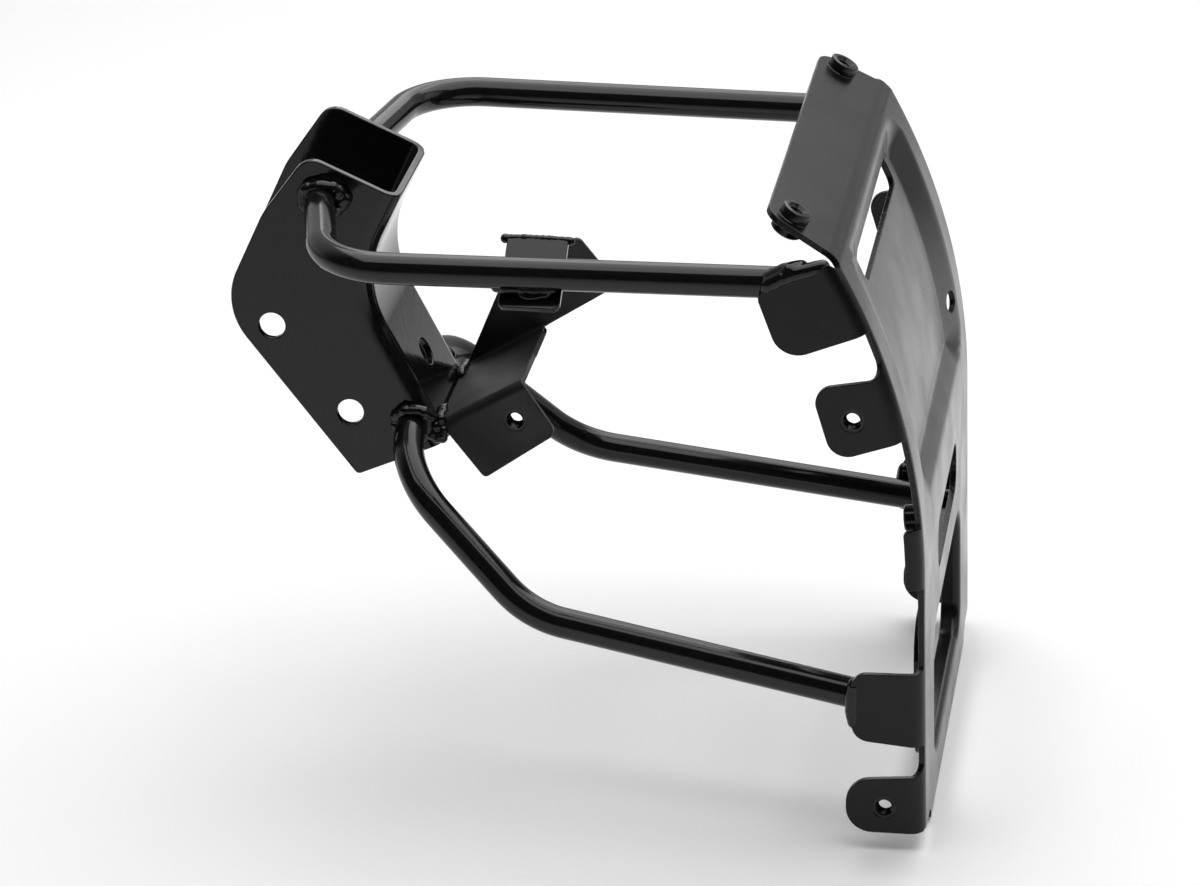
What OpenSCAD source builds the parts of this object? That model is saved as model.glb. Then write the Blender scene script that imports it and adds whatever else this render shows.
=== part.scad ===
// Front carrier bracket: a welded steel stay with a saddle, four bent bars and a stamped front plate.
// +X points forward (saddle to front plate), +Y to the left, +Z up. Units are millimetres.
// The origin is on the axis of the upper pair of saddle bolts, midway between the two saddle plates.

/* [Round bar] */
// diameter of the four bent bars
bar_d = 12; // [8:0.5:16]
// bend radius of the upper bars, on the centre line
upper_bend_r = 30; // [20:1:60]
// bend radius of the lower left bar beside the saddle
lower_bend_r = 25; // [16:1:30]
// how much wider the lower right bar bends there
bend_gap = 16; // [0:1:16]
// bend radius of the lower bars at the knee
knee_bend_r = 45; // [20:1:80]
// how much further back the left side sits than the right side
left_lag = 3; // [0:0.5:6]

/* [Saddle] */
// outside width of the saddle over both plates
saddle_w = 60; // [40:1:100]
// sheet thickness of the saddle
saddle_t = 3; // [2:0.5:5]
// diameter of the four bolt holes
bolt_d = 10.5; // [6:0.1:14]
// forward distance from the upper bolt to the lower bolt
bolt_dx = 30; // [20:1:50]
// drop from the upper bolt to the lower bolt
bolt_dz = 35; // [20:1:50]
// outer radius of the bend between the plates and the web
saddle_fold_r = 7; // [4:0.5:12]

/* [Front plate] */
// outside width over the side flanges
plate_w = 208; // [160:1:260]
// sheet thickness of the front plate
plate_t = 2.5; // [1.5:0.5:4]
// radius of the plate's curved upper half
plate_r = 265; // [200:5:400]
// depth of the drawn panel
panel_depth = 5; // [2:0.5:8]
// outer radius of the folds at the sides
fold_r = 6; // [4:0.5:10]
// depth of the lip round the lower opening
lip_depth = 8; // [4:0.5:12]

/* [Threads] */
// thread size of all press nuts and collars
thread_d = 6; // [4:1:10]
// outside diameter of the collars and nuts
nut_d = 10; // [8:0.5:14]
// spacing of the two collars on the top flange
collar_pitch = 167; // [120:1:190]

/* [Centre bracket] */
// sheet thickness of the bracket and of the clip plate
bracket_t = 2.5; // [2:0.5:4]

/* [Hidden] */
$fn = 64;
black = [0.05, 0.05, 0.055];
steel_black = [0.09, 0.09, 0.1];
bead_black = [0.12, 0.12, 0.13];
half_plate = plate_w / 2;
inner_plate = half_plate - plate_t;
half_saddle = saddle_w / 2;
bar_r = bar_d / 2;
lap = 0.3;                // straight pieces run this far into the bends beside them
step = 0.02;              // a bend is this much slimmer than the straight pieces beside it
lean = 1.2;               // the plate's lower half leans forward by this angle
arc_c = [-2.7, -66];      // centre of the plate's curved half, in X and Z
arc_top = 29;             // angle where the curved half ends
flange_a = 151;           // direction of the top flange, from +X towards +Z
bend_r = 12;              // outer radius of the top bend
flange_len = 26.2;        // flat length of the top flange
plate_bottom = -172.7;    // Z of the plate's lower edge
cut_y = 100.5;            // half width of the plate where its side folds are cut away
collar_back = 16.3;       // collar centre, from the start of the flat flange
RIGHT = -1;
LEFT = 1;

function lag(side) = side == LEFT ? left_lag : 0;
function unit(v) = v / norm(v);
function polar(r, a) = [r * cos(a), r * sin(a)];

// ---- general helpers ----

// places children with their own axes x, y and z at point o
module place(o, x, y, z)
  multmatrix([[x[0], y[0], z[0], o[0]],
              [x[1], y[1], z[1], o[1]],
              [x[2], y[2], z[2], o[2]],
              [0, 0, 0, 1]])
    children();

// a round rod from p to q
module rod(p, q, r) {
  z = unit(q - p);
  helper = abs(z[1]) < 0.9 ? [0, 1, 0] : [1, 0, 0];
  x = unit(cross(helper, z));
  place(p, x, cross(z, x), z) cylinder(h = norm(q - p), r = r);
}

// the curved part of a bar between directions a and b, round corner c
module elbow(c, a, b, bend, r) {
  angle = acos(a * b);
  start = c - a * bend * tan(angle / 2);
  z = unit(cross(a, b));
  x = cross(a, z);
  place(start - x * bend, x, a, z)
    rotate_extrude(angle = angle) translate([bend, 0]) circle(r = r - step);
}

// a bar through a list of corners, with one bend radius for each inner corner
module bar(pts, bends, r) {
  last = len(pts) - 1;
  dirs = [for (i = [0 : last - 1]) unit(pts[i + 1] - pts[i])];
  cuts = [for (i = [0 : last])
    i == 0 || i == last ? 0 : bends[i - 1] * tan(acos(dirs[i - 1] * dirs[i]) / 2)];
  union() {
    for (i = [0 : last - 1])
      rod(pts[i] + dirs[i] * (i == 0 ? 0 : cuts[i] - lap),
          pts[i + 1] - dirs[i] * (i == last - 1 ? 0 : cuts[i + 1] - lap), r);
    for (i = [1 : last - 1])
      elbow(pts[i], dirs[i - 1], dirs[i], bends[i - 1], r);
  }
}

// points of the arc that rounds corner p between neighbours a and b with radius r
function round_corner(a, p, b, r, n = 6) =
  let (u = unit(a - p), v = unit(b - p), half = acos(u * v) / 2)
  let (c = p + unit(u + v) * r / sin(half), s = p + u * r / tan(half), e = p + v * r / tan(half))
  let (a0 = atan2(s[1] - c[1], s[0] - c[0]), a1 = atan2(e[1] - c[1], e[0] - c[0]))
  let (turn = a1 - a0 > 180 ? a1 - a0 - 360 : a1 - a0 < -180 ? a1 - a0 + 360 : a1 - a0)
  [for (k = [0 : n]) c + polar(r, a0 + turn * k / n)];

// an outline whose corners are [x, y, radius]; radius 0 keeps a corner sharp
module outline(corners) {
  n = len(corners);
  polygon([for (i = [0 : n - 1])
    let (p = corners[i], a = corners[(i + n - 1) % n], b = corners[(i + 1) % n])
    let (xy = [p[0], p[1]], before = [a[0], a[1]], after = [b[0], b[1]])
    each (p[2] > 0 ? round_corner(before, xy, after, p[2]) : [xy])]);
}

// a sheet in the X-Z plane, from y0 to y1
module side_sheet(y0, y1)
  translate([0, y1, 0]) rotate([90, 0, 0]) linear_extrude(y1 - y0) children();

// a rounded rectangle
module rounded(w, h, r)
  outline([[-w / 2, -h / 2, r], [w / 2, -h / 2, r], [w / 2, h / 2, r], [-w / 2, h / 2, r]]);

// ---- saddle ----

saddle_low = [68.5, -46.5];    // lower end of the web
saddle_mid = [35.2, 18.9];     // waist of the web, before it is rounded
saddle_top = [54.8, 60];       // upper end of the web
waist_r = 42;

// the web's front line from the lower end to the upper end, moved back by d
function web_line(d) =
  let (n0 = unit([saddle_low[1] - saddle_mid[1], saddle_mid[0] - saddle_low[0]]))
  let (n1 = unit([saddle_mid[1] - saddle_top[1], saddle_top[0] - saddle_mid[0]]))
  let (low = saddle_low + n0 * d, top = saddle_top + n1 * d)
  let (mid = saddle_mid + unit(n0 + n1) * d / cos(acos(n0 * n1) / 2))
  concat([low], round_corner(low, mid, top, waist_r + d, 10), [top]);

// one sheet section carried along a straight line from p to q; its x runs to the back of the sheet
module run(p, q) {
  d = unit(q - p);
  place([p[0], 0, p[1]], [-d[1], 0, d[0]], [0, -1, 0], [d[0], 0, d[1]])
    linear_extrude(norm(q - p)) children();
}

// one sheet section carried round centre c from angle a0 to a1; bulge is 1 where the front is convex
module swing(c, r, a0, a1, bulge)
  place([c[0], 0, c[1]], [1, 0, 0], [0, 0, 1], [0, -1, 0])
    rotate([0, 0, a0]) rotate_extrude(angle = a1 - a0, $fn = 360)
      translate([r, 0]) mirror([bulge > 0 ? 1 : 0, 0]) children();

// section of a sheet with its side edges folded to the back
module fold_section(half, t, r, leg) {
  outer = [[0, -half, r], [leg, -half, 0], [leg, half, 0], [0, half, r]];
  inner = [[t, t - half, r - t], [leg + 1, t - half, 0], [leg + 1, half - t, 0], [t, half - t, r - t]];
  difference() {
    outline(outer);
    outline(inner);
  }
}

saddle_n0 = unit([saddle_low[1] - saddle_mid[1], saddle_mid[0] - saddle_low[0]]);
saddle_n1 = unit([saddle_mid[1] - saddle_top[1], saddle_top[0] - saddle_mid[0]]);
waist_half = acos(saddle_n0 * saddle_n1) / 2;
waist_dir = unit(saddle_n0 + saddle_n1);
waist_c = saddle_mid - waist_dir * waist_r / cos(waist_half);
waist_start = saddle_mid + unit(saddle_low - saddle_mid) * waist_r * tan(waist_half);
waist_end = saddle_mid + unit(saddle_top - saddle_mid) * waist_r * tan(waist_half);
waist_a = atan2(waist_dir[1], waist_dir[0]);
web_low = unit(waist_start - saddle_low);
web_top = unit(saddle_top - waist_end);

// outline of one side plate, behind the folds
module saddle_plate_outline(side) {
  back = lag(side);
  front = web_line(saddle_fold_r + 1);
  difference() {
    outline([[-20.2 - back, 7.4, 27], [-2 - back, 46.5, 30], [16.2 - back, 71, 8],
             [80, 42, 0], [80, -41, 0], [32, -61.7, 2]]);
    polygon(concat([saddle_low + [0, -40]], front, [[44, 90], [95, 90], [95, -86.5]]));
    for (p = [[0, 0], [bolt_dx, -bolt_dz]]) translate(p) circle(d = bolt_d);
  }
}

// the region the finished saddle keeps: the side view's top and bottom lines
module saddle_trim()
  outline([[-40, 7.4, 0], [-20, 80, 0], [16.2 - left_lag, 71 + left_lag * 0.45, 0], [60, 51.2, 0],
           [90, 20, 0], [72, -44.4, 0], [32, -61.7, 0], [20, -80, 0]]);

// section of the web, its folds and the first of its plates; e makes it slimmer
module saddle_section(e)
  translate([e, 0]) fold_section(half_saddle - e, saddle_t, saddle_fold_r, saddle_fold_r + 2);

module saddle()
  color(black)
    intersection() {
      difference() {
        union() {
          side_sheet(-half_saddle, -half_saddle + saddle_t) saddle_plate_outline(RIGHT);
          side_sheet(half_saddle - saddle_t, half_saddle) saddle_plate_outline(LEFT);
          run(saddle_low - web_low, waist_start + lap * web_low) saddle_section(step);
          swing(waist_c, waist_r, waist_a - waist_half, waist_a + waist_half, -1)
            saddle_section(0);
          run(waist_end - lap * web_top, saddle_top + web_top) saddle_section(step);
        }
        web_hole();
      }
      side_sheet(-half_saddle - 1, half_saddle + 1) saddle_trim();
    }

// round hole in the lower half of the web
module web_hole()
  translate([56, 0, -20]) rotate([0, 63, 0]) cylinder(h = 30, d = 11, center = true);

// ---- bars ----

// upper bar: out of the saddle, round a quarter turn, then forward
function upper_points(side) = [
  [side == RIGHT ? 20.4 : 25.4, side * half_saddle, 54],
  [37, side * 100.3, 54],
  [223, side * 95.1, 54]];

// lower bar: out of the saddle, down and forward, then forward to the plate
function lower_points(side) = [
  side == RIGHT ? [61, -7, -35.9] : [51, 20, -38.5],
  side == RIGHT ? [45.9, -52.4, -39.3] : [51, 58, -38.5],
  side == RIGHT ? [109, -82.1, -93.3] : [102, 82, -92.2],
  [258, side * 95.1, -116.6]];

// where the middle of a lower bar meets its saddle plate
function lower_foot(side) = side == RIGHT ? [54.8, -30, -38.7] : [51, 30, -38.5];

module upper_bar(side, r = bar_r) bar(upper_points(side), [upper_bend_r], r);

module lower_bar(side, r = bar_r)
  difference() {
    bar(lower_points(side), [side == RIGHT ? lower_bend_r + bend_gap : lower_bend_r, knee_bend_r], r);
    translate([0, -half_saddle, -80]) cube([100, saddle_w, 80]);
  }

module upper_bar_right() color(black) upper_bar(RIGHT);
module upper_bar_left() color(black) upper_bar(LEFT);
module lower_bar_right() color(black) lower_bar(RIGHT);
module lower_bar_left() color(black) lower_bar(LEFT);

// ---- front plate ----

arc_start = arc_c + polar(plate_r, lean);
arc_end = arc_c + polar(plate_r, arc_top);
low_dir = polar(1, lean - 90);
low_end = arc_start + low_dir * (arc_start[1] - plate_bottom) / -low_dir[1];
bend_c = arc_end - polar(bend_r, arc_top);
flange_n = flange_a - 90;
bend_end = bend_c + polar(bend_r, flange_n);
flange_end = bend_end + polar(flange_len, flange_a);

// places children on the plate's curved half: x outwards, y to the left, z up the sheet
module on_arc(a)
  place([arc_c[0] + plate_r * cos(a), 0, arc_c[1] + plate_r * sin(a)],
        [cos(a), 0, sin(a)], [0, 1, 0], [-sin(a), 0, cos(a)])
    children();

// places children on the plate's straight half, at height z
module on_low(z)
  let (s = (arc_start[1] - z) / -low_dir[1])
  place([arc_start[0] + low_dir[0] * s, 0, z],
        [cos(lean), 0, sin(lean)], [0, 1, 0], [-sin(lean), 0, cos(lean)])
    children();

// places children on the top flange: x out of its upper face, z towards its free edge
module on_flange(s)
  let (p = bend_end + polar(s, flange_a))
  place([p[0], 0, p[1]], [cos(flange_n), 0, sin(flange_n)], [0, 1, 0],
        [-sin(flange_n), 0, cos(flange_n)])
    children();

// cuts a rounded window through the sheet, in the plane that the parent placed
module window(w, h, r)
  rotate([90, 0, 90]) linear_extrude(40, center = true) rounded(w, h, r);

// carries a section along the plate below the top bend; the straight half runs a little way into
// the curved half and is smaller by step, so that no two faces coincide
module plate_sweep() {
  run(low_end, arc_start - low_dir * lap)
    translate([step, 0]) scale([1, (half_plate - step) / half_plate]) children();
  swing(arc_c, plate_r, lean, arc_top, 1) children();
}

// the plate's front line in the side view, moved back by d, running past both ends
function plate_line(d) = concat(
  [low_end + 5 * low_dir - polar(d, lean)],
  [for (k = [0 : 15]) arc_c + polar(plate_r - d, lean + 2 * k)]);

function reversed(v) = [for (i = [len(v) - 1 : -1 : 0]) v[i]];

// a strip between two heights, from f in front of the front face to d behind it
module strip(f, d, z0, z1)
  intersection() {
    polygon(concat(plate_line(-f), reversed(plate_line(d))));
    translate([150, z0]) square([200, z1 - z0]);
  }

// corners of the welding flange of the upper bar; its upper edge runs up to the top bend
upper_tab = [[250, 42.1, 0], [208.3, 25.7, 10], [198.6, 52.2, 4], [224, 64.2, 0], [250, 64.2, 0]];

// a block across the whole plate, e wider than it at each side
module across(e) side_sheet(-half_plate - e, half_plate + e) children();

// what stays behind the front face: the flanges at the sides; between them the fold is cut away
module flange_space() {
  side_sheet(-cut_y, cut_y) strip(1, 6.5, -180, 70);
  // ear beside the slot
  across(2) strip(2, 7, -64, -40);
  across(3) outline(upper_tab);
  // upper bolt flange
  across(4) outline([[266, 24.2, 0], [219, 15.6, 7], [227.6, -13.1, 8], [266, 0.1, 0]]);
  // welding flange of the lower bar
  across(5) outline([[270, -99, 0], [235.2, -99.8, 6], [235.8, -127.6, 7], [270, -130.6, 0]]);
  // lower bolt flange
  for (side = [RIGHT, LEFT]) let (back = 233.9 + lag(side))
    side_sheet(side == RIGHT ? -half_plate - 6 : 0, side == RIGHT ? 0 : half_plate + 6)
      outline([[270, -141.5, 0], [back, -144.8, 10], [back, -166.8, 10], [270, -166.6, 0]]);
}

// the upper part of the upper welding flange, beside the top bend
module upper_tab_top(side)
  side_sheet(side == RIGHT ? -half_plate : inner_plate, side == RIGHT ? -inner_plate : half_plate)
    intersection() {
      outline(upper_tab);
      polygon([arc_c + polar(plate_r - 46, arc_top - 0.4), arc_c + polar(plate_r - 5, arc_top - 0.4),
               [224, 70], [180, 70]]);
    }

function height_a(z) = asin((z - arc_c[1]) / plate_r);

// the drawn panel as a solid from f in front of the face to its floor, grown by g behind
module panel_space(f, g) {
  back = panel_depth + g;
  front_half = 82 + 4.4 * f + 4.5 * g;
  low = height_a(-30 - 0.2 * g);
  high = height_a(50 + 0.2 * g);
  intersection() {
    plate_sweep()
      polygon([[-f, -front_half], [-f, front_half], [back, 60 + 0.1 * g], [back, -60 - 0.1 * g]]);
    side_sheet(-120, 120) polygon(concat(
      [arc_c + polar(plate_r + 3, height_a(-47.6 - 2.4 * g))],
      [for (k = [0 : 12]) arc_c + polar(plate_r - back, low + (high - low) * k / 12)],
      [arc_c + polar(plate_r + 3, height_a(66 + 2.2 * g))]));
  }
}

module front_plate()
  color(steel_black)
    difference() {
      union() {
        intersection() {
          plate_sweep() fold_section(half_plate, plate_t, fold_r, 52);
          flange_space();
        }
        upper_tab_top(RIGHT);
        upper_tab_top(LEFT);
        panel_space(-1, plate_t);
        top_flange();
        opening_lip();
      }
      panel_space(3, 0);
      // window under the top flange
      on_arc(25.2) window(108, 12, 4);
      // slot and lower opening
      on_low(-74.5) window(84, 21, 8);
      on_low(-129) window(120, 54, 12);
      // bolt holes in the side flanges
      for (p = flange_holes) translate([p[0], 0, p[1]])
        rotate([90, 0, 0]) cylinder(h = plate_w + 20, d = nut_d - 1, center = true);
      // collar holes in the top flange
      for (side = [RIGHT, LEFT]) on_flange(collar_back) translate([0, side * collar_pitch / 2, 0])
        rotate([0, 90, 0]) cylinder(h = 20, d = nut_d - 1, center = true);
      // holes in the walls of the drawn panel
      for (side = [RIGHT, LEFT]) on_arc(10.3) translate([0, side * 75, 0])
        rotate([0, 90, 0]) cylinder(h = 40, d = 9, center = true);
      bottom_corners();
    }

flange_holes = [[234.8, 3.7], [248.7, -155.8]];

// the flange with the two collars, and the bend that joins it to the plate
module top_flange() {
  swing(bend_c, bend_r - step, arc_top - 1.4, flange_n, 1)
    translate([0, -97]) square([plate_t, 194]);
  on_flange(0) translate([-plate_t, 0, 0]) rotate([90, 0, 90]) linear_extrude(plate_t)
    outline([[-96.8, -0.5, 0], [96.8, -0.5, 0], [91, flange_len, 6], [-91, flange_len, 6]]);
}

// the lip that stiffens the edge of the lower opening
module opening_lip()
  on_low(-129) translate([-lip_depth, 0, 0]) rotate([90, 0, 90])
    linear_extrude(lip_depth - 0.5) rounded(120 + 2 * plate_t, 54 + 2 * plate_t, 12 + plate_t);

// cuts the lower corners of the plate back to the side flanges
module bottom_corners()
  for (side = [RIGHT, LEFT]) mirror([0, side == RIGHT ? 1 : 0, 0])
    translate([240, 0, 0]) rotate([90, 0, 90]) linear_extrude(40)
      polygon([[78, -180], [78, -169], [84, -166.8], [120, -166.6], [120, -180]]);

// ---- threaded parts ----

// a threaded barrel along z: a thin head, then a barrel through the sheet; drawn from the head side
module press_nut(head_d, head_h, body_d, through, back_d, back_h)
  difference() {
    union() {
      cylinder(h = head_h, d = head_d);
      translate([0, 0, -through]) cylinder(h = through, d = body_d);
      translate([0, 0, -through - back_h]) cylinder(h = back_h, d = back_d);
    }
    translate([0, 0, -50]) cylinder(h = 100, d = thread_d);
  }

// collar on the top flange: raised ring above, barrel below
module collar(side)
  color(bead_black)
    on_flange(collar_back) translate([0, side * collar_pitch / 2, 0]) rotate([0, 90, 0])
      press_nut(nut_d, 4, nut_d - 1, plate_t, nut_d + 2, 4);

module collar_right() collar(RIGHT);
module collar_left() collar(LEFT);

// nut on the inner face of a side flange
module flange_nut(p, side)
  color(bead_black)
    translate([p[0], side * half_plate, p[1]]) rotate([-90 * side, 0, 0])
      difference() {
        union() {
          translate([0, 0, -plate_t]) cylinder(h = plate_t - 0.4, d = nut_d - 1);
          translate([0, 0, -plate_t - 6]) cylinder(h = 6, d = nut_d + 2);
        }
        translate([0, 0, -50]) cylinder(h = 100, d = thread_d);
      }

module upper_flange_nut_right() flange_nut(flange_holes[0], RIGHT);
module upper_flange_nut_left() flange_nut(flange_holes[0], LEFT);
module lower_flange_nut_right() flange_nut(flange_holes[1], RIGHT);
module lower_flange_nut_left() flange_nut(flange_holes[1], LEFT);

// small round nut on the back of the plate, beside the slot
module edge_nut(side)
  color(bead_black)
    on_arc(height_a(-38)) translate([-plate_t, side * 94, 0]) rotate([0, -90, 0])
      difference() {
        cylinder(h = 4.5, d = nut_d);
        translate([0, 0, -1]) cylinder(h = 10, d = thread_d);
      }

module edge_nut_right() edge_nut(RIGHT);
module edge_nut_left() edge_nut(LEFT);

// ---- centre bracket ----

rise = 30;                      // the shelf rises forward by this angle
shelf_back = [65, -37.5];       // rear edge of the shelf's upper face
shelf_len = 38;
shelf_front = shelf_back + polar(shelf_len, rise);
tab_hole = [95.6, -35.1];
arm_y = half_saddle - bracket_t;

module shelf()
  side_sheet(-half_saddle, half_saddle)
    polygon([shelf_back, shelf_front, shelf_front + polar(bracket_t, rise - 90),
             shelf_back + polar(bracket_t, rise - 90)]);

module centre_bracket()
  color(black)
    difference() {
      union() {
        shelf();
        // tab bent down at the right side
        side_sheet(-half_saddle, -half_saddle + bracket_t)
          outline([[shelf_back[0], shelf_back[1], 0], [shelf_front[0], shelf_front[1], 3],
                   [112, -40, 4], [83, -60.5, 2]]);
        // arm bent up at the left side
        side_sheet(arm_y, half_saddle)
          outline([[shelf_back[0], shelf_back[1], 0], [shelf_front[0], shelf_front[1], 0],
                   [127.5, -0.9, 3], [111.6, 19.4, 3], [80.4, -2, 3]]);
      }
      translate([tab_hole[0], 0, tab_hole[1]]) rotate([90, 0, 0])
        cylinder(h = 100, d = nut_d - 1);
    }

module tab_nut()
  color(bead_black)
    translate([tab_hole[0], -half_saddle, tab_hole[1]]) rotate([90, 0, 0])
      difference() {
        union() {
          translate([0, 0, -bracket_t]) cylinder(h = bracket_t - 0.4, d = nut_d - 1);
          translate([0, 0, -bracket_t - 5]) cylinder(h = 5, d = nut_d + 1.5);
        }
        translate([0, 0, -50]) cylinder(h = 100, d = thread_d);
      }

// ---- clip plate behind the right upper bar ----

clip_tilt = 38;
clip_w = 23;
clip_x = 114.5;
clip_y = -98;

// places children on the clip plate: x along the bar, y up the plate, z out of its face
module on_clip()
  translate([clip_x, clip_y, 54]) rotate([clip_tilt, 0, 0]) translate([0, 0, -bar_r]) children();

module clip_plate()
  color(black)
    on_clip() translate([0, 0, -bracket_t]) linear_extrude(bracket_t)
      outline([[-clip_w / 2, -11.4, 2], [clip_w / 2, -11.4, 3], [clip_w / 2, 19, 0.5],
               [-clip_w / 2, 19, 0.5]]);

// ---- welds ----

module ring_bead(r, bead)
  rotate_extrude() translate([r, 0]) circle(r = bead);

// weld round the foot of a bar on a saddle plate; the bar itself is the child
module foot_weld(side, p)
  color(bead_black)
    difference() {
      translate([p[0], side * half_saddle, p[2]]) rotate([90, 0, 0]) ring_bead(bar_r + 0.6, 2.8);
      children();
      translate([-50, -half_saddle, -100]) cube([200, saddle_w, 200]);
    }

module upper_foot_weld_right() foot_weld(RIGHT, upper_points(RIGHT)[0]) upper_bar(RIGHT);
module upper_foot_weld_left() foot_weld(LEFT, upper_points(LEFT)[0]) upper_bar(LEFT);
module lower_foot_weld_right() foot_weld(RIGHT, lower_foot(RIGHT)) lower_bar(RIGHT);
module lower_foot_weld_left() foot_weld(LEFT, lower_foot(LEFT)) lower_bar(LEFT);

// a rounded bead from p to q
module bead(p, q, r) {
  rod(p, q, r);
  translate(p) sphere(r = r);
  translate(q) sphere(r = r);
}

// weld along the upper edge of the upper welding flange
module upper_tab_weld(side)
  color(bead_black)
    difference() {
      bead([204, side * 101.2, 57.5], [221, side * 101.2, 63.5], 3.6);
      rod(upper_points(side)[1], upper_points(side)[2] + [20, -side * 0.6, 0], bar_r);
      side_sheet(side == RIGHT ? -half_plate : inner_plate, side == RIGHT ? -inner_plate : half_plate)
        outline(upper_tab);
    }

module upper_tab_weld_right() upper_tab_weld(RIGHT);
module upper_tab_weld_left() upper_tab_weld(LEFT);

// weld down the rear edge of the lower welding flange
module lower_tab_weld(side)
  color(bead_black)
    difference() {
      bead([235.6, side * 101.5, -108.5], [235.6, side * 101.5, -119], 3);
      rod(lower_points(side)[2], lower_points(side)[3], bar_r);
      side_sheet(-120, 120)
        outline([[270, -99, 0], [235.2, -99.8, 6], [235.8, -127.6, 7], [270, -130.6, 0]]);
    }

module lower_tab_weld_right() lower_tab_weld(RIGHT);
module lower_tab_weld_left() lower_tab_weld(LEFT);

// welds between the clip plate and the bar, under and over the bar
module clip_weld()
  color(bead_black)
    difference() {
      union() {
        on_clip() bead([-12, -3.2, 1], [7, -3.2, 1], 2.4);
        on_clip() bead([-10, 3.2, 1], [10, 3.2, 1], 2);
      }
      rod(upper_points(RIGHT)[1], upper_points(RIGHT)[2], bar_r);
      on_clip() translate([-50, -50, -60]) cube([100, 100, 60]);
    }

// bead along the upper edge of the clip plate
module clip_edge_bead()
  color(bead_black)
    difference() {
      on_clip() bead([-clip_w / 2, 19, -bracket_t / 2], [clip_w / 2, 19, -bracket_t / 2], 1.6);
      on_clip() translate([-50, -50, -bracket_t]) cube([100, 69, bracket_t]);
    }

// weld between the shelf of the centre bracket and the saddle web
module shelf_weld(y0, y1)
  difference() {
    bead([65.5, y0, -36.7], [65.5, y1, -36.7], 2.8);
    saddle_solid();
    shelf();
  }

// the saddle's front as a plain solid, to shape the weld against
module saddle_solid()
  side_sheet(-half_saddle, half_saddle) polygon(concat(web_line(0), [[0, 60], [0, -60]]));

module shelf_weld_right() color(bead_black) shelf_weld(-26, -18);
module shelf_weld_left() color(bead_black) shelf_weld(18, 26);

saddle();
upper_bar_right();
upper_bar_left();
lower_bar_right();
lower_bar_left();
front_plate();
collar_right();
collar_left();
upper_flange_nut_right();
upper_flange_nut_left();
lower_flange_nut_right();
lower_flange_nut_left();
edge_nut_right();
edge_nut_left();
centre_bracket();
tab_nut();
clip_plate();
upper_foot_weld_right();
upper_foot_weld_left();
lower_foot_weld_right();
lower_foot_weld_left();
upper_tab_weld_right();
upper_tab_weld_left();
lower_tab_weld_right();
lower_tab_weld_left();
clip_weld();
clip_edge_bead();
shelf_weld_right();
shelf_weld_left();
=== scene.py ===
"""Looks of the front carrier bracket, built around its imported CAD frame. Lengths below are millimetres."""

import math

import bmesh
import bpy
import numpy as np
from mathutils import Matrix, Vector, noise
from mathutils.geometry import delaunay_2d_cdt


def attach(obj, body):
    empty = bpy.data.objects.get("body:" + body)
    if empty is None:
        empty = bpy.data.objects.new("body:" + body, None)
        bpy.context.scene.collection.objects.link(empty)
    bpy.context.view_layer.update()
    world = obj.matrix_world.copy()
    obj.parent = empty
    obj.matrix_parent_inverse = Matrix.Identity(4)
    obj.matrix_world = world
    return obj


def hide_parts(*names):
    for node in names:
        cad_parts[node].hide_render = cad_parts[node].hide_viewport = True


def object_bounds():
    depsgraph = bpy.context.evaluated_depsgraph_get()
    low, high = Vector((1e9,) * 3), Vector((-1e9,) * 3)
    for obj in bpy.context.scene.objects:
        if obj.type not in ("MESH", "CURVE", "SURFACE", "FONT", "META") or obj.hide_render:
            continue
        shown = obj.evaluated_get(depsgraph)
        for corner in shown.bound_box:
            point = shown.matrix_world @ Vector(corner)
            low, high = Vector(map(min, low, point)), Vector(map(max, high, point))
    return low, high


MM = 0.001
RIGHT, LEFT = -1, 1
SIDE_NAME = {RIGHT: "right", LEFT: "left"}
AROUND = 56                                # points round a bar or a turned piece
THREAD_R, THREAD_PITCH, THREAD_DEPTH = 3.2, 1.0, 0.5
TURNED_CREASE = 32                         # degrees between faces of a turned piece that make a sharp edge
BAR_R, BAR_CHAMFER = 6.0, 0.8
NUT_HOLE_R = 4.5                           # hole in the sheet for a press nut or a collar

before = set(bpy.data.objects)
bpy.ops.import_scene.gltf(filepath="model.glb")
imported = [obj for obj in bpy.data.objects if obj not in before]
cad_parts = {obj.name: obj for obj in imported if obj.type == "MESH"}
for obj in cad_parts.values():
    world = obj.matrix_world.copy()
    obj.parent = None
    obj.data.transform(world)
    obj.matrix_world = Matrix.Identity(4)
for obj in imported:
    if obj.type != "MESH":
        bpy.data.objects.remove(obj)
cad_low, cad_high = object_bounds()
scene = bpy.context.scene


# ---- vectors and outlines ----

def unit(v):
    v = np.asarray(v, float)
    return v / np.linalg.norm(v, axis=-1, keepdims=True)


def turned(degrees):
    a = math.radians(degrees)
    return np.array((math.cos(a), math.sin(a)))


def dense(points, spacing, closed=True):
    """the same line with extra points, none further apart than spacing"""
    points = [np.asarray(p, float) for p in points]
    pairs = list(zip(points, points[1:] + points[:1])) if closed else list(zip(points, points[1:]))
    out = []
    for a, b in pairs:
        parts = max(1, math.ceil(np.linalg.norm(b - a) / spacing))
        out += [a + (b - a) * k / parts for k in range(parts)]
    return np.array(out if closed else out + [points[-1]])


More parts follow.
